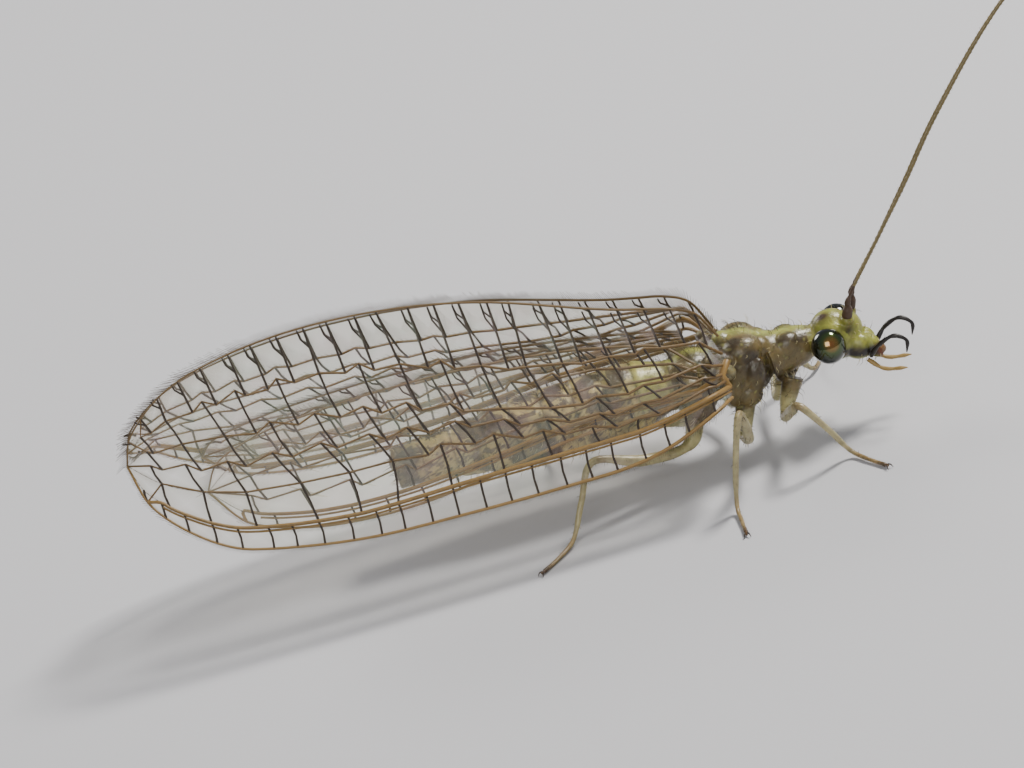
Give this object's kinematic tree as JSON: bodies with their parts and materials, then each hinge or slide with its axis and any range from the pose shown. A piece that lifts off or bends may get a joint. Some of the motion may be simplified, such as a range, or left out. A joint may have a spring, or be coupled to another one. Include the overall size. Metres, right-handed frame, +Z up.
{
  "type": "green lacewing",
  "caption": "Life-size green lacewing at rest, standing, with veined wings folded like a roof over the abdomen and long feelers raised forward.",
  "frame": {"origin": "centre of the bounding box seen from above, at the level of the feet", "axes": "+X towards the head, +Y the insect's left, +Z up"},
  "size_m": [0.0231, 0.0076, 0.0109],
  "materials": {
    "head": "matt",
    "eye": "shiny",
    "antenna": "matt",
    "palp": "matt",
    "thorax": "matt",
    "abdomen": "matt",
    "wing": "glossy membrane",
    "leg": "matt"
  },
  "bodies": {
    "root": {"head": "head", "prothorax": "thorax", "mesothorax": "thorax", "metathorax": "thorax", "abdomen": "abdomen", "eye_right": "eye", "antenna_right": "antenna", "maxillary_palp_right": "palp", "labial_palp_right": "palp", "leg_front_right": "leg", "leg_mid_right": "leg", "leg_hind_right": "leg", "forewing_right": "wing", "hindwing_right": "wing", "eye_left": "eye", "antenna_left": "antenna", "maxillary_palp_left": "palp", "labial_palp_left": "palp", "leg_front_left": "leg", "leg_mid_left": "leg", "leg_hind_left": "leg", "forewing_left": "wing", "hindwing_left": "wing"}
  },
  "joints": []
}
